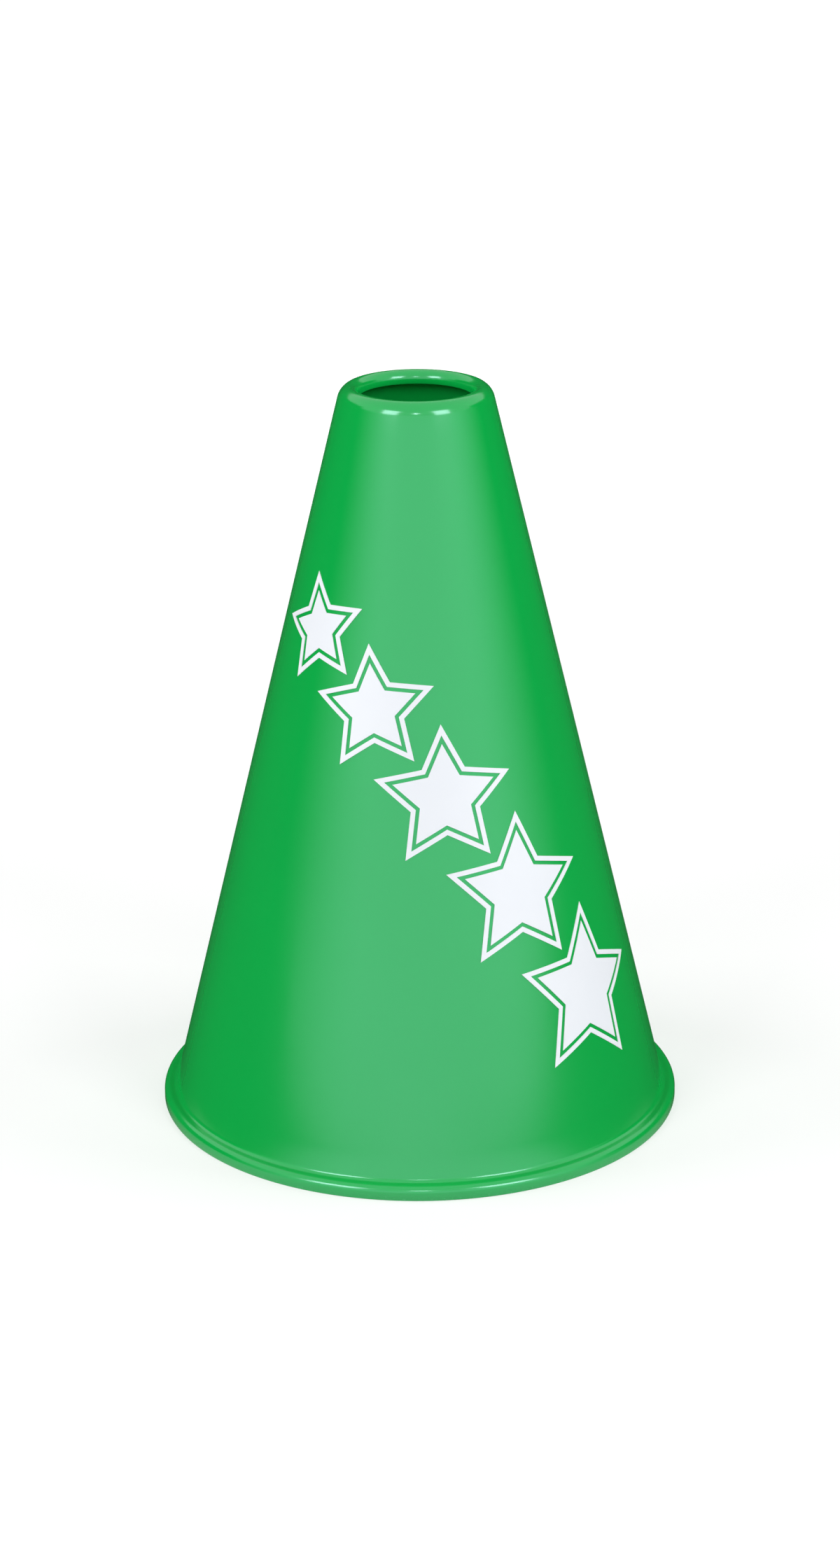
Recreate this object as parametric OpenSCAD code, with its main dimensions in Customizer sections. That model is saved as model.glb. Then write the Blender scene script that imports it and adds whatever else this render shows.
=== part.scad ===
// Hand-held cheer megaphone: one moulded plastic cone, open at both ends,
// with a row of cut vinyl star decals on its front.
// Stands on its bell, mouth up. The origin is the centre of the rest ring,
// the front faces -Y and all sizes are in millimetres.

/* [Cone] */
// Height from the rest ring to the top of the mouth lip
height = 240; // [180:1:320]
// Outer diameter of the bell rim
bell_d = 170; // [140:1:220]
// Thickness of the moulded wall, the same all over
wall = 1.6; // [1.2:0.1:2]

/* [Mouth lip] */
// Diameter of the opening that is spoken into
mouth_d = 36; // [28:0.5:46]
// Outer radius of the lip's top, which rolls inwards
lip_r = 2.8; // [2.6:0.1:4]
// Radius of the shoulder that leads from the wall into the lip's top
shoulder_r = 5.5; // [4.5:0.5:9]
// Steepness at which the shoulder runs into the lip's top, 90 at the very top
shoulder_turn = 55; // [40:1:75]
// How far the hem of the rolled lip hangs below its round
lip_hem = 1.3; // [0.5:0.1:4]

/* [Bell rim] */
// How far the rim stands out from the line of the wall, at the rest ring
rim_overhang = 3.1; // [2.2:0.1:6]
// Height of the rim above the rest ring
rim_h = 4.5; // [4.1:0.1:8]
// Radius of the rim's rounded outer edge
rim_round = 2.2; // [2.1:0.1:3.5]
// Radius of the hollow fillet between the rim and the wall
rim_fillet = 1.6; // [0.5:0.1:2]

/* [Star decals] */
// Diameter across the tips of the star nearest the mouth, outline included
first_star_d = 36; // [28:1:46]
// Diameter across the tips of the star nearest the bell, outline included
last_star_d = 56; // [46:1:66]
// Waist of a star: radius of its inner corners as a share of its tip radius
star_waist = 0.5; // [0.42:0.01:0.6]
// Width of the outline around each star
outline_w = 1.5; // [0.8:0.1:2]
// Bare gap between a star and its outline
outline_gap = 1.2; // [0.6:0.1:1.6]
// Bare gap between the tip of one outline and the waist of the next
star_gap = 3.5; // [2:0.5:8]
// Thickness of the vinyl film
film = 0.2; // [0.1:0.05:0.4]
// Thickness of the adhesive bed that holds the film off the wall
film_bed = 0.15; // [0.1:0.05:0.3]
// Height of the middle of the row of stars
row_z = 116; // [100:1:140]
// Turn of the middle of the row around the cone, from the front to the right
row_turn = 14; // [-180:1:180]
// Slope of the row on the unrolled wall; -54 keeps one tip of each star upright
row_slope = -54; // [-90:1:90]

/* [Hidden] */
$fn = 180;

shell_green = "#0AAD47";
vinyl_white = "#EBF0F8";

// How far a cutting form runs past the face that it opens
cut_past = 1;

bell_r = bell_d / 2;
mouth_r = mouth_d / 2;

// Centres of the lip's top round and of its shoulder, whose arcs meet at shoulder_normal
shoulder_normal = [cos(shoulder_turn), sin(shoulder_turn)];
lip_c = [mouth_r + lip_r, height - lip_r];
shoulder_c = lip_c - (shoulder_r - lip_r) * shoulder_normal;
hem_z = lip_c.y - lip_hem;

// Outer line of the wall: it meets the rest plane at cone_r0 and is tangent to the shoulder
cone_r0 = bell_r - rim_overhang;
shoulder_from_foot = [cone_r0 - shoulder_c.x, shoulder_c.y];
half_angle = atan2(shoulder_from_foot.x, shoulder_from_foot.y)
    - asin(shoulder_r / norm(shoulder_from_foot));
wall_normal = [cos(half_angle), sin(half_angle)];
apex_z = cone_r0 / tan(half_angle);
wall_end = shoulder_c + shoulder_r * wall_normal;

// Centres of the rim's rounded edge and of the fillet above it
round_c = [bell_r - rim_round, rim_h - rim_round];
fillet_rise = rim_h + rim_fillet;
fillet_c = [cone_r0 + (rim_fillet - fillet_rise * wall_normal.y) / wall_normal.x, fillet_rise];

// The bare stretch of the wall that a decal can lie on
decal_z0 = fillet_c.y;
decal_z1 = wall_end.y;

// Stars of the row, numbered from the mouth to the bell
star_count = 5;
star_points = 5;
tip_step = 360 / star_points;
// Distance from a star's middle to the line of any of its edges, as a share of its tip radius
edge_share = star_waist * sin(tip_step / 2)
    / sqrt(1 + star_waist * star_waist - 2 * star_waist * cos(tip_step / 2));
row_slant = (apex_z - row_z) / cos(half_angle);

// Radius of the wall's line at height z, inset from the outer face
function wall_r(z, inset) = cone_r0 - z * tan(half_angle) - inset / cos(half_angle);

// Tip radius of star i with its outline
function outline_tip(i) =
    (first_star_d + (last_star_d - first_star_d) * i / (star_count - 1)) / 2;

// Tip radius of the star that lies inset within star i's outline, edge to edge
function inset_tip(i, inset) = outline_tip(i) - inset / edge_share;

// Distance of star i from the first: each tip points at the waist of the next star
function row_step(i) = i == 0 ? 0 :
    row_step(i - 1) + outline_tip(i - 1) + star_waist * outline_tip(i) + star_gap;

// Middle of star i on the unrolled wall, from the middle of the row
function star_middle(i) =
    (row_step(i) - row_step(star_count - 1) / 2) * [cos(row_slope), sin(row_slope)];

// Corners of a star on the unrolled wall, tips and waists in turn
function star_corners(middle, tip) = [
    for (k = [0 : 2 * star_points - 1])
        let (a = row_slope + k * tip_step / 2)
        middle + tip * (k % 2 == 0 ? 1 : star_waist) * [cos(a), sin(a)]
];

// Turn around the cone of a point p on the unrolled wall
function turn_at(p) = row_turn + atan2(p.x, row_slant - p.y) / sin(half_angle);

// The same point rolled back onto the wall's outer face
function on_wall(p) =
    let (slant = norm([p.x, row_slant - p.y]), r = slant * sin(half_angle), turn = turn_at(p))
    [r * sin(turn), -r * cos(turn), apex_z - slant * cos(half_angle)];

// A point on the wall as it shows to someone looking square at a place with the given turn
function seen_at(point, place, turn) =
    let (d = point - place, inwards = d.y * cos(turn) - d.x * sin(turn))
    [d.x * cos(turn) + d.y * sin(turn), inwards * sin(half_angle) + d.z * cos(half_angle)];

// Wedge of corner at the foot of the wall, hollowed to radius r about the fillet's centre
module foot_corner(r) {
    floor_z = fillet_c.y - r;
    difference() {
        polygon([
            [wall_r(floor_z, r - rim_fillet), floor_z],
            [fillet_c.x, floor_z],
            fillet_c,
            fillet_c - r * wall_normal
        ]);
        translate(fillet_c)
            circle(r);
    }
}

// Round of the shoulder with radius r, from the end of the wall to the lip's top round
module lip_shoulder(r) {
    corner_turn = (half_angle + shoulder_turn) / 2;
    corner_reach = r / cos(shoulder_turn - corner_turn);
    intersection() {
        translate(shoulder_c)
            circle(r);
        polygon([
            lip_c,
            shoulder_c + r * wall_normal,
            shoulder_c + corner_reach * [cos(corner_turn), sin(corner_turn)],
            shoulder_c + r * shoulder_normal
        ]);
    }
}

// Half section of the megaphone's outer form, inset by a wall, from the foot height up
module section(inset, foot) {
    inner_r = mouth_r + inset;
    polygon([
        [inner_r, foot],
        [wall_r(foot, inset), foot],
        wall_end - inset * wall_normal,
        lip_c,
        [inner_r, lip_c.y]
    ]);
    translate(lip_c)
        circle(lip_r - inset);
    lip_shoulder(shoulder_r - inset);
    translate([inner_r, foot])
        square([bell_r - inset - inner_r, round_c.y - foot]);
    translate([inner_r, foot])
        square([round_c.x - inner_r, rim_h - inset - foot]);
    translate(round_c)
        circle(rim_round - inset);
    foot_corner(rim_fillet + inset);
}

// The moulding: cone wall, inward rolled mouth lip and outward turned bell rim in one piece
module cone_shell() {
    color(shell_green)
        rotate_extrude()
            difference() {
                section(0, 0);
                section(wall, -cut_past);
                translate([0, -cut_past])
                    square([mouth_r + wall, hem_z + cut_past]);
            }
}

// Film of vinyl lying on its adhesive over the whole bare stretch of the wall
module film_band() {
    film_top = film_bed + film;
    rotate_extrude()
        polygon([
            [wall_r(decal_z0, -film_bed), decal_z0],
            [wall_r(decal_z0, -film_top), decal_z0],
            [wall_r(decal_z1, -film_top), decal_z1],
            [wall_r(decal_z1, -film_bed), decal_z1]
        ]);
}

// Straight cutter with the outline of star i, square to the wall at the star's middle
module star_cutter(i, tip) {
    middle = star_middle(i);
    place = on_wall(middle);
    turn = turn_at(middle);
    depth = outline_tip(i);
    translate(place)
        rotate([90 - half_angle, 0, turn])
            translate([0, 0, -depth])
                linear_extrude(2 * depth)
                    polygon([
                        for (p = star_corners(middle, tip)) seen_at(on_wall(p), place, turn)
                    ]);
}

// Solid star i of the row
module star_fill(i) {
    color(vinyl_white)
        intersection() {
            film_band();
            star_cutter(i, inset_tip(i, outline_w + outline_gap));
        }
}

// Thin outline that frames star i of the row
module star_outline(i) {
    color(vinyl_white)
        intersection() {
            film_band();
            difference() {
                star_cutter(i, outline_tip(i));
                star_cutter(i, inset_tip(i, outline_w));
            }
        }
}

cone_shell();
for (i = [0 : star_count - 1]) {
    star_fill(i);
    star_outline(i);
}
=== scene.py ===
from math import asin, atan2, ceil, cos, hypot, pi, radians, sin, tan

import bpy
from mathutils import Matrix, Vector


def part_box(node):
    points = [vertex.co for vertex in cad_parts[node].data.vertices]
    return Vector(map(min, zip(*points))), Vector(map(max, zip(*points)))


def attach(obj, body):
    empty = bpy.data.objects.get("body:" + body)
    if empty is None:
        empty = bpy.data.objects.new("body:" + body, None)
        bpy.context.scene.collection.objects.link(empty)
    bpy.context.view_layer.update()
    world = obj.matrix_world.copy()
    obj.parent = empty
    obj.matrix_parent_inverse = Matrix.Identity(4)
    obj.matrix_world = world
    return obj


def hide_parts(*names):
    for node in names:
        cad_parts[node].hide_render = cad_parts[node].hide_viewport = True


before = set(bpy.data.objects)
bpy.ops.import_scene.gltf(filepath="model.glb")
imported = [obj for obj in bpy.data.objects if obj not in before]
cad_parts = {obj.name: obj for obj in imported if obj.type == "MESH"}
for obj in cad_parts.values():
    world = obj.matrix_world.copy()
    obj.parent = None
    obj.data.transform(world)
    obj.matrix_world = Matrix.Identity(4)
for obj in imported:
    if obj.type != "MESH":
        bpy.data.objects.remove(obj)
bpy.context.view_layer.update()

# The moulded cone: one piece of glossy green polyethylene, shot over a core that
# leaves through the bell. Its lip rolls inwards at the mouth, its rim turns out and
# down at the bell, and the wall has the same thickness all over.
MM = 0.001
WALL = 1.6 * MM
MOUTH_RADIUS = 18 * MM
LIP_RADIUS = 2.8 * MM
LIP_HEM = 1.3 * MM
SHOULDER_RADIUS = 5.5 * MM
SHOULDER_TURN = radians(55)
RIM_HEIGHT = 4.5 * MM
RIM_ROUND = 2.2 * MM
RIM_FILLET = 1.6 * MM
RIM_OVERHANG = 3.1 * MM
EDGE_BREAK = 0.25 * MM
BREAK_SEGMENTS = 2
SHARP_FROM = radians(50)
SMOOTH_UP_TO = radians(35)
SEGMENTS_AROUND = 288
WALL_RINGS = 32
ARC_STEP = radians(9)

shell_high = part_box("cone_shell")[1]
height = shell_high.z
bell_radius = shell_high.x

# The lip's top round runs into a wider shoulder, and the wall's outer line goes from
# foot_radius on the rest plane to touch that shoulder
foot_radius = bell_radius - RIM_OVERHANG
lip_centre = Vector((MOUTH_RADIUS + LIP_RADIUS, height - LIP_RADIUS))
shoulder_normal = Vector((cos(SHOULDER_TURN), sin(SHOULDER_TURN)))
shoulder_centre = lip_centre - (SHOULDER_RADIUS - LIP_RADIUS) * shoulder_normal
foot_to_shoulder = Vector((foot_radius - shoulder_centre.x, shoulder_centre.y))
half_angle = atan2(*foot_to_shoulder) - asin(SHOULDER_RADIUS / foot_to_shoulder.length)
apex_height = foot_radius / tan(half_angle)
round_centre = Vector((bell_radius - RIM_ROUND, RIM_HEIGHT - RIM_ROUND))
fillet_height = RIM_HEIGHT + RIM_FILLET
fillet_centre = Vector((
    foot_radius + (RIM_FILLET - fillet_height * sin(half_angle)) / cos(half_angle),
    fillet_height,
))


def arc(centre, radius, start, end):
    """Points (radius, height) along an arc of the section, both ends included."""
    steps = ceil(abs(end - start) / ARC_STEP)
    angles = [start + (end - start) * i / steps for i in range(steps + 1)]
    return [centre + radius * Vector((cos(a), sin(a))) for a in angles]


# The outer skin's section, from the rest ring up the wall and over the lip to its hem
rest_edge = Vector((bell_radius, 0))
rim_edge = arc(round_centre, RIM_ROUND, 0, pi / 2)
foot_curve = arc(fillet_centre, RIM_FILLET, -pi / 2, half_angle - pi)
shoulder_curve = arc(shoulder_centre, SHOULDER_RADIUS, half_angle, SHOULDER_TURN)
wall_line = [foot_curve[-1].lerp(shoulder_curve[0], i / WALL_RINGS) for i in range(1, WALL_RINGS)]
lip_roll = arc(lip_centre, LIP_RADIUS, SHOULDER_TURN, pi)
hem_edge = lip_roll[-1] - Vector((0, LIP_HEM))
rim_section = [rest_edge, *rim_edge, *foot_curve]
lip_section = [*shoulder_curve, *lip_roll[1:], hem_edge]
skin_section = rim_section + wall_line + lip_section

bpy.ops.object.select_all(action="DESELECT")
bpy.ops.mesh.primitive_circle_add(vertices=SEGMENTS_AROUND, radius=rest_edge.x, fill_type="NOTHING")
cone = bpy.context.object
cone.name = "moulded_cone"
bpy.ops.object.mode_set(mode="EDIT")
bpy.ops.mesh.select_all(action="SELECT")
for ring, next_ring in zip(skin_section, skin_section[1:]):
    scale = next_ring.x / ring.x
    bpy.ops.mesh.extrude_edges_move(TRANSFORM_OT_translate={"value": (0, 0, next_ring.y - ring.y)})
    bpy.ops.transform.resize(value=(scale, scale, 1), center_override=(0, 0, next_ring.y))
bpy.ops.mesh.select_all(action="SELECT")
bpy.ops.mesh.normals_make_consistent(inside=False)
bpy.ops.object.mode_set(mode="OBJECT")


def apply_modifier(piece, kind, **settings):
    """Adds a modifier to a piece and applies it."""
    bpy.context.view_layer.objects.active = piece
    modifier = piece.modifiers.new(kind.lower(), kind)
    for name, value in settings.items():
        setattr(modifier, name, value)
    bpy.ops.object.modifier_apply(modifier=modifier.name)


# The skin gets its wall on the inside, and the two free edges are broken as on the real moulding
apply_modifier(cone, "SOLIDIFY", thickness=WALL, offset=-1, use_even_offset=True)
apply_modifier(
    cone, "BEVEL", width=EDGE_BREAK, segments=BREAK_SEGMENTS, limit_method="ANGLE", angle_limit=SHARP_FROM
)
bpy.ops.object.shade_smooth_by_angle(angle=SMOOTH_UP_TO)


def linear(hex_colour):
    """An sRGB hex colour such as "#0AAD47" as linear RGBA."""
    channels = [int(hex_colour[i:i + 2], 16) / 255 for i in (1, 3, 5)]
    return [c / 12.92 if c <= 0.04045 else ((c + 0.055) / 1.055) ** 2.4 for c in channels] + [1]


def add_node(tree, kind, settings=None, links=None):
    """Adds a node, sets its properties and input values, and links sockets into its inputs."""
    node = tree.nodes.new(kind)
    for name, value in (settings or {}).items():
        if isinstance(name, int) or name in node.inputs:
            node.inputs[name].default_value = value
        else:
            setattr(node, name, value)
    for name, socket in (links or {}).items():
        tree.links.new(socket, node.inputs[name])
    return node


def new_material(name):
    """An empty node material and its tree."""
    material = bpy.data.materials.new(name)
    material.use_nodes = True
    material.node_tree.nodes.clear()
    return material, material.node_tree


# Moulded polyethylene: evenly dyed, with a strong cool gloss where it met the polished mould,
# a faint orange peel and cloudy pigment; the rest edge and the lip carry pale scuffs of use.
SHELL_GREEN = "#0AAD47"
SHELL_CLOUD = "#07A644"
CLOUD_SIZE = 55 * MM
CLOUD_DETAIL = 3
SHELL_IOR = 1.51
GLOSS_LEVEL = 1
GLOSS_TINT = "#D3F6FF"
GLOSS_ROUGHNESS = (0.14, 0.19)
PEEL_SIZE = 2.4 * MM
PEEL_DETAIL = 1
PEEL_HEIGHT = 0.002 * MM
SCUFF_GREEN = "#4DBE75"
SCUFF_SIZE = 1.1 * MM
SCUFF_DETAIL = 6
SCUFF_GRIT = 0.7
SCUFF_FROM = 0.56
SCUFF_FULL = 0.68
SCUFF_SHARE = 0.6
SCUFF_ROUGHNESS = 0.3
REST_WEAR = 1.6 * MM
LIP_WEAR = 0.9 * MM
LIP_WEAR_SHARE = 0.5
# Noise runs from 0 to 1, but nearly all of it lies between these two
NOISE_LOW = 0.3
NOISE_HIGH = 0.7
# A Mix node has its two colours and their mixture at these sockets
MIX_FIRST = 6
MIX_SECOND = 7
MIX_RESULT = 2

green_plastic, tree = new_material("moulded_green_polyethylene")
place = add_node(tree, "ShaderNodeTexCoord").outputs["Object"]
clouds = add_node(
    tree, "ShaderNodeTexNoise", {"Scale": 1 / CLOUD_SIZE, "Detail": CLOUD_DETAIL}, {"Vector": place}
).outputs["Fac"]
dyed = add_node(
    tree, "ShaderNodeMix",
    {"data_type": "RGBA", MIX_FIRST: linear(SHELL_GREEN), MIX_SECOND: linear(SHELL_CLOUD)},
    {"Factor": clouds},
).outputs[MIX_RESULT]
grit = add_node(
    tree, "ShaderNodeTexNoise",
    {"Scale": 1 / SCUFF_SIZE, "Detail": SCUFF_DETAIL, "Roughness": SCUFF_GRIT}, {"Vector": place},
).outputs["Fac"]
level = add_node(tree, "ShaderNodeSeparateXYZ", links={"Vector": place}).outputs["Z"]
near_rest = add_node(
    tree, "ShaderNodeMapRange", {"From Min": REST_WEAR, "From Max": 0}, {"Value": level}
).outputs["Result"]
near_lip = add_node(
    tree, "ShaderNodeMapRange",
    {"From Min": height - LIP_WEAR, "From Max": height, "To Max": LIP_WEAR_SHARE}, {"Value": level},
).outputs["Result"]
worn_edge = add_node(
    tree, "ShaderNodeMath", {"operation": "MAXIMUM"}, {0: near_rest, 1: near_lip}
).outputs[0]
rubbed = add_node(
    tree, "ShaderNodeMapRange",
    {"From Min": SCUFF_FROM, "From Max": SCUFF_FULL, "To Max": SCUFF_SHARE}, {"Value": grit},
).outputs["Result"]
scuffs = add_node(
    tree, "ShaderNodeMath", {"operation": "MULTIPLY"}, {0: worn_edge, 1: rubbed}
).outputs[0]
shell_colour = add_node(
    tree, "ShaderNodeMix", {"data_type": "RGBA", MIX_SECOND: linear(SCUFF_GREEN)},
    {"Factor": scuffs, MIX_FIRST: dyed},
).outputs[MIX_RESULT]
shell_roughness = add_node(
    tree, "ShaderNodeMapRange",
    {
        "From Min": NOISE_LOW, "From Max": NOISE_HIGH,
        "To Min": GLOSS_ROUGHNESS[0], "To Max": GLOSS_ROUGHNESS[1],
    },
    {"Value": clouds},
).outputs["Result"]
scuffed_roughness = add_node(
    tree, "ShaderNodeMath", {"operation": "MULTIPLY_ADD", 1: SCUFF_ROUGHNESS},
    {0: scuffs, 2: shell_roughness},
).outputs[0]
peel = add_node(
    tree, "ShaderNodeTexNoise", {"Scale": 1 / PEEL_SIZE, "Detail": PEEL_DETAIL}, {"Vector": place}
).outputs["Fac"]
shell_bump = add_node(
    tree, "ShaderNodeBump", {"Distance": PEEL_HEIGHT}, {"Height": peel}
).outputs["Normal"]
shell_shader = add_node(
    tree, "ShaderNodeBsdfPrincipled",
    {"IOR": SHELL_IOR, "Specular IOR Level": GLOSS_LEVEL, "Specular Tint": linear(GLOSS_TINT)},
    {"Base Color": shell_colour, "Roughness": scuffed_roughness, "Normal": shell_bump},
).outputs["BSDF"]
add_node(tree, "ShaderNodeOutputMaterial", links={"Surface": shell_shader})

cone.data.materials.append(green_plastic)
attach(cone, "root")
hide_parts("cone_shell")

# The star decals: white self-adhesive vinyl, cut flat with a contour around each star and
# rolled onto the wall by hand, in a row that runs down the front from the mouth to the bell.
STAR_COUNT = 5
STAR_POINTS = 5
STAR_WAIST = 0.5
FIRST_STAR = 36 * MM
LAST_STAR = 56 * MM
OUTLINE_WIDTH = 1.5 * MM
OUTLINE_GAP = 1.2 * MM
STAR_GAP = 3.5 * MM
ROW_HEIGHT = 116 * MM
ROW_TURN = radians(14)
ROW_SLOPE = radians(-54)
FACE_SIZE = 1.2 * MM
# The film lies a little closer to the wall than its solid does, so that it looks stuck down
FILM = 0.16 * MM
FILM_LIFT = 0.03 * MM

row_slant = (apex_height - ROW_HEIGHT) / cos(half_angle)
row_direction = Vector((cos(ROW_SLOPE), sin(ROW_SLOPE), 0))


def tip_radius(star):
    """Radius to the tips of a star's outline."""
    return (FIRST_STAR + (LAST_STAR - FIRST_STAR) * star / (STAR_COUNT - 1)) / 2


def row_step(star):
    """Distance of a star from the first: each tip points at the waist of the next star."""
    steps = [tip_radius(i - 1) + STAR_WAIST * tip_radius(i) + STAR_GAP for i in range(1, star + 1)]
    return sum(steps)


def rolled(point):
    """A point of the unrolled wall, with its lift as z, on the real wall."""
    slant = hypot(point.x, row_slant - point.y)
    turn = ROW_TURN + atan2(point.x, row_slant - point.y) / sin(half_angle)
    radius = slant * sin(half_angle) + point.z * cos(half_angle)
    level = apex_height - slant * cos(half_angle) + point.z * sin(half_angle)
    return Vector((radius * sin(turn), -radius * cos(turn), level))


def cut_star(name, star, contour):
    """One piece of film: the solid star, or the contour around it, cut flat and rolled on."""
    tip = tip_radius(star)
    middle = (row_step(star) - row_step(STAR_COUNT - 1) / 2) * row_direction
    bpy.ops.object.select_all(action="DESELECT")
    bpy.ops.mesh.primitive_circle_add(
        vertices=2 * STAR_POINTS, radius=tip, fill_type="NGON", location=middle
    )
    piece = bpy.context.object
    piece.name = name
    bpy.ops.object.transform_apply(location=True, rotation=True, scale=True)
    for i, corner in enumerate(piece.data.vertices):
        reach = tip if i % 2 == 0 else STAR_WAIST * tip
        turn = ROW_SLOPE + i * pi / STAR_POINTS
        corner.co = middle + reach * Vector((cos(turn), sin(turn), 0))
    bpy.ops.object.mode_set(mode="EDIT")
    bpy.ops.mesh.select_mode(type="FACE")
    bpy.ops.mesh.select_all(action="SELECT")
    # The inset leaves its middle selected: a contour loses that middle, a star what is around it
    bpy.ops.mesh.inset(thickness=OUTLINE_WIDTH if contour else OUTLINE_WIDTH + OUTLINE_GAP)
    if not contour:
        bpy.ops.mesh.select_all(action="INVERT")
    bpy.ops.mesh.delete(type="FACE")
    bpy.ops.mesh.select_all(action="SELECT")
    if not contour:
        bpy.ops.mesh.poke()
    bpy.ops.mesh.subdivide(number_cuts=ceil(tip / 2 / FACE_SIZE))
    bpy.ops.mesh.normals_make_consistent(inside=False)
    bpy.ops.object.mode_set(mode="OBJECT")
    for corner in piece.data.vertices:
        corner.co = rolled(corner.co + Vector((0, 0, FILM_LIFT)))
    apply_modifier(piece, "SOLIDIFY", thickness=FILM, offset=1, use_even_offset=True)
    bpy.ops.object.shade_smooth_by_angle(angle=SMOOTH_UP_TO)
    return piece


# Cast vinyl: an even cool white with a satin face that follows the wall's peel a little
VINYL_WHITE = "#F0F3F8"
VINYL_CLOUD = "#EAEEF4"
VINYL_CLOUD_SIZE = 18 * MM
VINYL_CLOUD_DETAIL = 4
VINYL_IOR = 1.5
VINYL_ROUGHNESS = (0.3, 0.4)
VINYL_PEEL_SIZE = 1.6 * MM
VINYL_PEEL_HEIGHT = 0.003 * MM

white_vinyl, tree = new_material("cut_white_vinyl")
place = add_node(tree, "ShaderNodeTexCoord").outputs["Object"]
clouds = add_node(
    tree, "ShaderNodeTexNoise", {"Scale": 1 / VINYL_CLOUD_SIZE, "Detail": VINYL_CLOUD_DETAIL},
    {"Vector": place},
).outputs["Fac"]
vinyl_colour = add_node(
    tree, "ShaderNodeMix",
    {"data_type": "RGBA", MIX_FIRST: linear(VINYL_WHITE), MIX_SECOND: linear(VINYL_CLOUD)},
    {"Factor": clouds},
).outputs[MIX_RESULT]
vinyl_roughness = add_node(
    tree, "ShaderNodeMapRange",
    {
        "From Min": NOISE_LOW, "From Max": NOISE_HIGH,
        "To Min": VINYL_ROUGHNESS[0], "To Max": VINYL_ROUGHNESS[1],
    },
    {"Value": clouds},
).outputs["Result"]
peel = add_node(
    tree, "ShaderNodeTexNoise", {"Scale": 1 / VINYL_PEEL_SIZE, "Detail": PEEL_DETAIL}, {"Vector": place}
).outputs["Fac"]
vinyl_bump = add_node(
    tree, "ShaderNodeBump", {"Distance": VINYL_PEEL_HEIGHT}, {"Height": peel}
).outputs["Normal"]
vinyl_shader = add_node(
    tree, "ShaderNodeBsdfPrincipled", {"IOR": VINYL_IOR},
    {"Base Color": vinyl_colour, "Roughness": vinyl_roughness, "Normal": vinyl_bump},
).outputs["BSDF"]
add_node(tree, "ShaderNodeOutputMaterial", links={"Surface": vinyl_shader})

for star in range(STAR_COUNT):
    for kind, contour in (("fill", False), ("outline", True)):
        film_piece = cut_star(f"vinyl_star_{kind}_{star + 1}", star, contour)
        film_piece.data.materials.append(white_vinyl)
        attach(film_piece, "root")
        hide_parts(f"star_{kind}_{star + 1}")

# The studio floor: a wide sheet of matte pale paper under the rest ring. It shows white to the eye and in
# reflections and takes the soft shadow of the megaphone; inside the rest ring its glow is cut down, a
# painted shade under the cone.
FLOOR_RADIUS = 14
FLOOR_SIDES = 128
FLOOR_GREY = "#C0C0C0"
# Share of the glow left inside the rest ring: painted shade under the cone
GLOW_IN_PAINTED_SHADE = 0.25
GLOW_NEAR = 0.49
GLOW_FAR = 1
GLOW_NEAR_REACH = 0.5
GLOW_FAR_REACH = 1.6

bpy.ops.object.select_all(action="DESELECT")
bpy.ops.mesh.primitive_circle_add(vertices=FLOOR_SIDES, radius=FLOOR_RADIUS, fill_type="NGON")
floor = bpy.context.object
floor.name = "studio_floor"


def seen_rays(tree):
    """A socket that is 1 for what is seen by the camera, in gloss or through glass, and else 0."""
    rays = add_node(tree, "ShaderNodeLightPath").outputs
    seen = rays["Is Camera Ray"]
    for kind in ("Is Glossy Ray", "Is Transmission Ray"):
        seen = add_node(
            tree, "ShaderNodeMath", {"operation": "MAXIMUM"}, {0: seen, 1: rays[kind]}
        ).outputs[0]
    return seen


floor_paper, tree = new_material("matte_pale_paper")
place = add_node(tree, "ShaderNodeTexCoord").outputs["Object"]
reach = add_node(
    tree, "ShaderNodeVectorMath", {"operation": "LENGTH"}, {0: place}
).outputs["Value"]
paper_glow = add_node(
    tree, "ShaderNodeMapRange",
    {
        "From Min": GLOW_NEAR_REACH, "From Max": GLOW_FAR_REACH,
        "To Min": GLOW_NEAR, "To Max": GLOW_FAR,
    },
    {"Value": reach},
).outputs["Result"]
# Painted shade: within the rest ring the floor's glow drops to its inside share
painted_shade_under_cone = add_node(
    tree, "ShaderNodeMapRange",
    {"From Min": bell_radius - WALL, "From Max": bell_radius, "To Min": GLOW_IN_PAINTED_SHADE}, {"Value": reach},
).outputs["Result"]
seen_with_painted_shade = add_node(
    tree, "ShaderNodeMath", {"operation": "MULTIPLY"}, {0: seen_rays(tree), 1: painted_shade_under_cone}
).outputs[0]
seen_glow = add_node(
    tree, "ShaderNodeMath", {"operation": "MULTIPLY"}, {0: seen_with_painted_shade, 1: paper_glow}
).outputs[0]
glow = add_node(tree, "ShaderNodeEmission", links={"Strength": seen_glow}).outputs[0]
matte = add_node(tree, "ShaderNodeBsdfDiffuse", {"Color": linear(FLOOR_GREY)}).outputs[0]
paper = add_node(tree, "ShaderNodeAddShader", links={0: glow, 1: matte}).outputs[0]
add_node(tree, "ShaderNodeOutputMaterial", links={"Surface": paper})
floor.data.materials.append(floor_paper)

# The dark tray: black card that lies around and behind the megaphone, folded up at its sides
# and back, with a window that fades open in front of the rim. It shows only in reflections,
# where it keeps the sides and the lip a deep green.
TRAY_SIDE = 1.75
TRAY_FRONT = -0.5
TRAY_FOLD = -0.02
TRAY_BACK = 1.5
TRAY_UPRIGHT = 1.1
TRAY_LIFT = 0.4 * MM
WINDOW_SIDE = 0.085
WINDOW_SIDE_FADE = 0.025
WINDOW_BACK = -0.08
WINDOW_BACK_FADE = 0.08
CARD_BLACK = "#303030"

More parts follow.
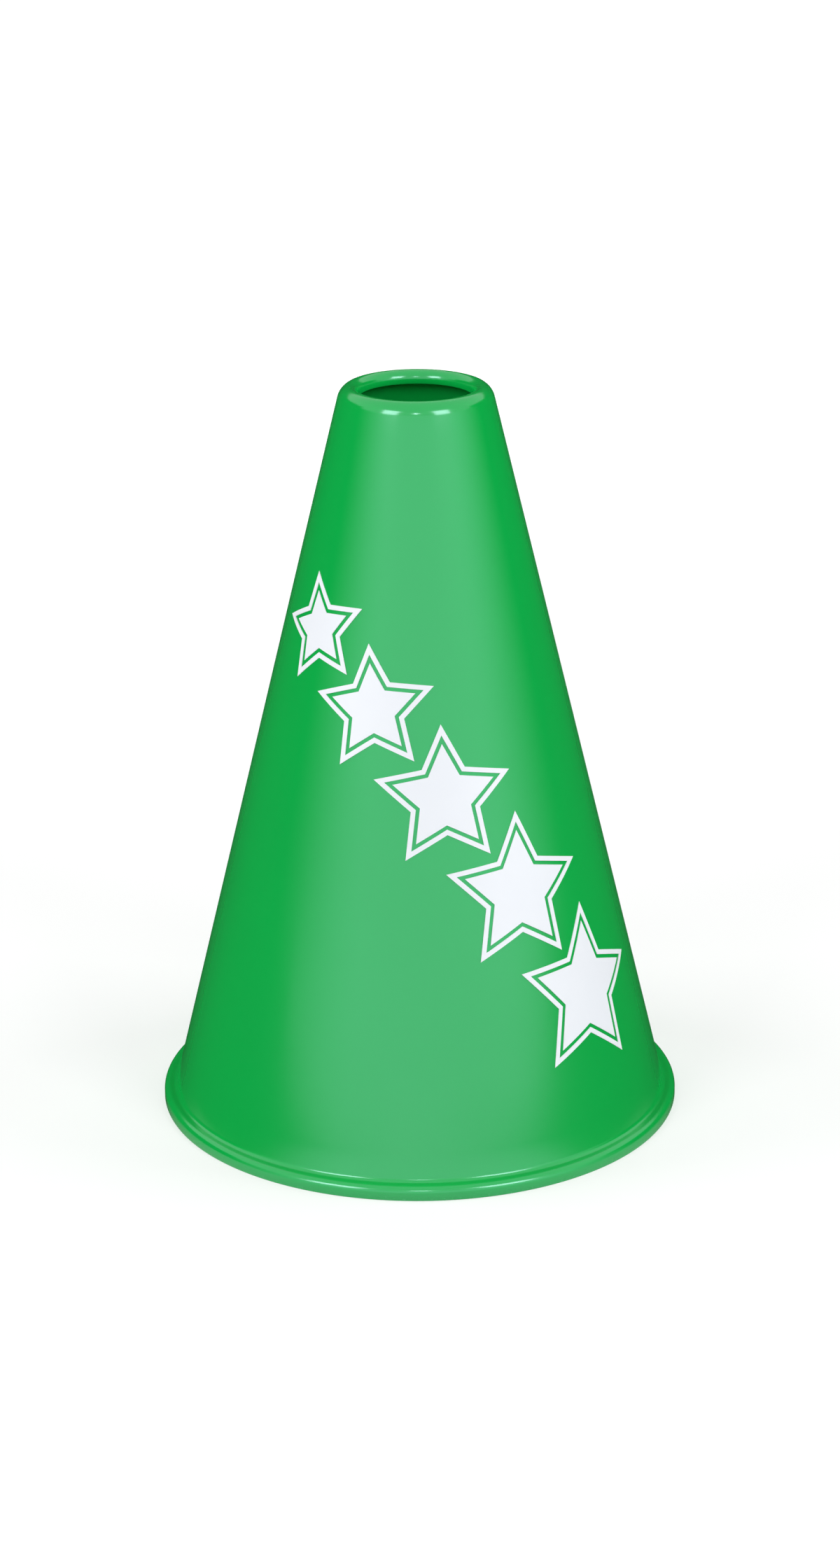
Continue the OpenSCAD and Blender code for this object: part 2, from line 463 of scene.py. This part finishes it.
bpy.ops.object.select_all(action="DESELECT")
bpy.ops.mesh.primitive_plane_add(size=1)
tray = bpy.context.object
tray.name = "dark_tray"
bpy.ops.object.mode_set(mode="EDIT")
bpy.ops.transform.resize(value=(2 * TRAY_SIDE, TRAY_BACK - TRAY_FOLD, 1))
bpy.ops.transform.translate(value=(0, (TRAY_BACK + TRAY_FOLD) / 2, TRAY_LIFT))
bpy.ops.mesh.select_mode(type="EDGE")
# The sides and the back are folded up, then the edge at the fold is drawn out to the front
for forward, move in ((False, (0, 0, TRAY_UPRIGHT)), (True, (0, TRAY_FRONT - TRAY_FOLD, 0))):
    bpy.ops.mesh.select_all(action="DESELECT")
    bpy.ops.object.mode_set(mode="OBJECT")
    for edge in tray.data.edges:
        ends = [tray.data.vertices[i].co for i in edge.vertices]
        at_fold = max(end.y for end in ends) < 0
        flat = max(end.z for end in ends) < TRAY_UPRIGHT / 2
        edge.select = flat and at_fold == forward
    bpy.ops.object.mode_set(mode="EDIT")
    bpy.ops.mesh.extrude_edges_move(TRANSFORM_OT_translate={"value": move})
bpy.ops.object.mode_set(mode="OBJECT")

black_card, tree = new_material("black_card")
place = add_node(tree, "ShaderNodeTexCoord").outputs["Object"]
axes = add_node(tree, "ShaderNodeSeparateXYZ", links={"Vector": place}).outputs
aside = add_node(tree, "ShaderNodeMath", {"operation": "ABSOLUTE"}, {0: axes["X"]}).outputs[0]
side_card = add_node(
    tree, "ShaderNodeMapRange",
    {
        "interpolation_type": "SMOOTHSTEP",
        "From Min": WINDOW_SIDE, "From Max": WINDOW_SIDE + WINDOW_SIDE_FADE,
    },
    {"Value": aside},
).outputs["Result"]
back_card = add_node(
    tree, "ShaderNodeMapRange",
    {
        "interpolation_type": "SMOOTHSTEP",
        "From Min": WINDOW_BACK, "From Max": WINDOW_BACK + WINDOW_BACK_FADE,
    },
    {"Value": axes["Y"]},
).outputs["Result"]
card_share = add_node(
    tree, "ShaderNodeMath", {"operation": "MAXIMUM"}, {0: side_card, 1: back_card}
).outputs[0]
window = add_node(tree, "ShaderNodeBsdfTransparent").outputs[0]
matte = add_node(tree, "ShaderNodeBsdfDiffuse", {"Color": linear(CARD_BLACK)}).outputs[0]
card = add_node(tree, "ShaderNodeMixShader", links={0: card_share, 1: window, 2: matte}).outputs[0]
add_node(tree, "ShaderNodeOutputMaterial", links={"Surface": card})
tray.data.materials.append(black_card)


def show_only_in_gloss(sheet):
    """Hides a sheet from the camera and from matte surfaces, so that it shows only in reflections."""
    sheet.visible_camera = False
    sheet.visible_diffuse = False
    sheet.visible_shadow = False


show_only_in_gloss(tray)

# The light screen: translucent cloth lit from behind, which stands in an arc around the front
# and fades out towards both ends. It gives the broad sheen on the wall, and shows only in
# reflections.
SCREEN_RADIUS = 1.7
SCREEN_HEIGHT = 0.8
SCREEN_ENDS = (radians(-94), radians(108))
SCREEN_FULL = (radians(-30), radians(44))
SCREEN_FACES = 48
SCREEN_RADIANCE = 1.54
SCREEN_WHITE = "#F5F9FF"

bpy.ops.object.select_all(action="DESELECT")
bpy.ops.mesh.primitive_circle_add(vertices=SCREEN_FACES + 1, radius=SCREEN_RADIUS, fill_type="NOTHING")
screen = bpy.context.object
screen.name = "light_screen"
bpy.ops.object.mode_set(mode="EDIT")
bpy.ops.mesh.select_mode(type="EDGE")
bpy.ops.mesh.select_all(action="DESELECT")
bpy.ops.object.mode_set(mode="OBJECT")
# The circle's corners move onto the arc, and the edge between its two ends is taken out
for i, corner in enumerate(screen.data.vertices):
    turn = SCREEN_ENDS[0] + (SCREEN_ENDS[1] - SCREEN_ENDS[0]) * i / SCREEN_FACES
    corner.co = (SCREEN_RADIUS * sin(turn), -SCREEN_RADIUS * cos(turn), 0)
for edge in screen.data.edges:
    edge.select = set(edge.vertices) == {0, SCREEN_FACES}
bpy.ops.object.mode_set(mode="EDIT")
bpy.ops.mesh.delete(type="EDGE")
bpy.ops.mesh.select_all(action="SELECT")
bpy.ops.mesh.extrude_edges_move(TRANSFORM_OT_translate={"value": (0, 0, SCREEN_HEIGHT)})
bpy.ops.object.mode_set(mode="OBJECT")

lit_cloth, tree = new_material("lit_cloth")
place = add_node(tree, "ShaderNodeTexCoord").outputs["Object"]
axes = add_node(tree, "ShaderNodeSeparateXYZ", links={"Vector": place}).outputs
towards = add_node(tree, "ShaderNodeMath", {"operation": "MULTIPLY", 1: -1}, {0: axes["Y"]}).outputs[0]
bearing = add_node(
    tree, "ShaderNodeMath", {"operation": "ARCTAN2"}, {0: axes["X"], 1: towards}
).outputs[0]
left_fade = add_node(
    tree, "ShaderNodeMapRange",
    {
        "interpolation_type": "SMOOTHSTEP", "From Min": SCREEN_ENDS[0], "From Max": SCREEN_FULL[0],
        "To Max": SCREEN_RADIANCE,
    },
    {"Value": bearing},
).outputs["Result"]
right_fade = add_node(
    tree, "ShaderNodeMapRange",
    {"interpolation_type": "SMOOTHSTEP", "From Min": SCREEN_ENDS[1], "From Max": SCREEN_FULL[1]},
    {"Value": bearing},
).outputs["Result"]
shine = add_node(
    tree, "ShaderNodeMath", {"operation": "MULTIPLY"}, {0: left_fade, 1: right_fade}
).outputs[0]
lit = add_node(
    tree, "ShaderNodeEmission", {"Color": linear(SCREEN_WHITE)}, {"Strength": shine}
).outputs[0]
add_node(tree, "ShaderNodeOutputMaterial", links={"Surface": lit})
screen.data.materials.append(lit_cloth)
show_only_in_gloss(screen)

# The lamps: two softboxes above the screen for the spots on the lip and the rim, a small
# flash over the camera, and four lamps that keep out of the gloss: a key from the front,
# which reaches into the mouth, a fill at each side and a weaker one behind.
LAMP_DISTANCE = 1.7
SOFTBOX_AZIMUTH = radians(40)
SOFTBOX_SIZE = (0.74, 0.74)
SOFTBOX_LEVEL = 1.2
SOFTBOX_RADIANCE = 6.9
FLASH_SIZE = (0.2, 0.16)
FLASH_LEVEL = 1.2
FLASH_RADIANCE = 18
KEY_SIZE = (1.0, 0.5)
KEY_LEVEL = 0.85
KEY_RADIANCE = 3.4
SIDE_AZIMUTH = radians(92)
SIDE_SIZE = (1.2, 1.0)
SIDE_LEVEL = 0.9
SIDE_RADIANCE = 5.2
BACK_SIZE = (3.2, 1.4)
BACK_LEVEL = 0.9
BACK_RADIANCE = 1.45

lamps_aim = Vector((0, 0, height / 2))


def add_lamp(name, azimuth, level, size, radiance):
    """A rectangular lamp that faces the megaphone, at an azimuth from the front to the right."""
    lamp = bpy.data.lights.new(name, "AREA")
    lamp.shape = "RECTANGLE"
    lamp.size, lamp.size_y = size
    lamp.energy = radiance * pi * size[0] * size[1]
    panel = bpy.data.objects.new(name, lamp)
    bpy.context.scene.collection.objects.link(panel)
    panel.location = (LAMP_DISTANCE * sin(azimuth), -LAMP_DISTANCE * cos(azimuth), level)
    panel.rotation_euler = (lamps_aim - panel.location).to_track_quat("-Z", "Y").to_euler()
    panel.visible_camera = False
    return panel


def keep_out_of_gloss(panel):
    """Hides a lamp from all reflections, so that it only lights the matte part of a surface."""
    panel.visible_glossy = False
    panel.data.cycles.use_multiple_importance_sampling = False


for side, name in ((-1, "left"), (1, "right")):
    add_lamp(f"{name}_softbox", side * SOFTBOX_AZIMUTH, SOFTBOX_LEVEL, SOFTBOX_SIZE, SOFTBOX_RADIANCE)
    side_fill = add_lamp(f"{name}_fill", side * SIDE_AZIMUTH, SIDE_LEVEL, SIDE_SIZE, SIDE_RADIANCE)
    keep_out_of_gloss(side_fill)
key = add_lamp("key", 0, KEY_LEVEL, KEY_SIZE, KEY_RADIANCE)
keep_out_of_gloss(key)
add_lamp("flash", 0, FLASH_LEVEL, FLASH_SIZE, FLASH_RADIANCE)
back_fill = add_lamp("back_fill", pi, BACK_LEVEL, BACK_SIZE, BACK_RADIANCE)
keep_out_of_gloss(back_fill)

# The room around: white walls and a white ceiling, far off. They show white to the eye and in
# reflections, and fill the shadows a little.
ROOM_LIGHT = 0.07
ROOM_WHITE = "#FFFFFF"

world = bpy.data.worlds.new("studio_room")
bpy.context.scene.world = world
world.use_nodes = True
tree = world.node_tree
tree.nodes.clear()
room_level = add_node(
    tree, "ShaderNodeMapRange", {"To Min": ROOM_LIGHT}, {"Value": seen_rays(tree)}
).outputs["Result"]
room = add_node(
    tree, "ShaderNodeBackground", {"Color": linear(ROOM_WHITE)}, {"Strength": room_level}
).outputs[0]
add_node(tree, "ShaderNodeOutputWorld", links={"Surface": room})

# The camera: it stands in front, a little above the mouth, and looks down the cone. Its focal
# length and the offset of the cone's axis are in pixels of the photograph.
CAMERA_DISTANCE = 1.1
CAMERA_HEIGHT = 0.5119
CAMERA_PITCH = radians(20.18)
CAMERA_ROLL = radians(0.31)
FOCAL_PIXELS = 5166.3
AXIS_OFFSET_PIXELS = -2.87
PHOTO_HEIGHT = 2240
SENSOR = 36

lens = bpy.data.cameras.new("photo_camera")
lens.sensor_width = SENSOR
lens.lens = FOCAL_PIXELS * SENSOR / PHOTO_HEIGHT
camera = bpy.data.objects.new("photo_camera", lens)
bpy.context.scene.collection.objects.link(camera)
yaw = atan2(AXIS_OFFSET_PIXELS, FOCAL_PIXELS)
camera.matrix_world = (
    Matrix.Translation((0, -CAMERA_DISTANCE, CAMERA_HEIGHT))
    @ Matrix.Rotation(yaw, 4, "Z")
    @ Matrix.Rotation(pi / 2 - CAMERA_PITCH, 4, "X")
    @ Matrix.Rotation(-CAMERA_ROLL, 4, "Z")
)
bpy.context.scene.camera = camera
bpy.context.scene.view_settings.view_transform = "Standard"
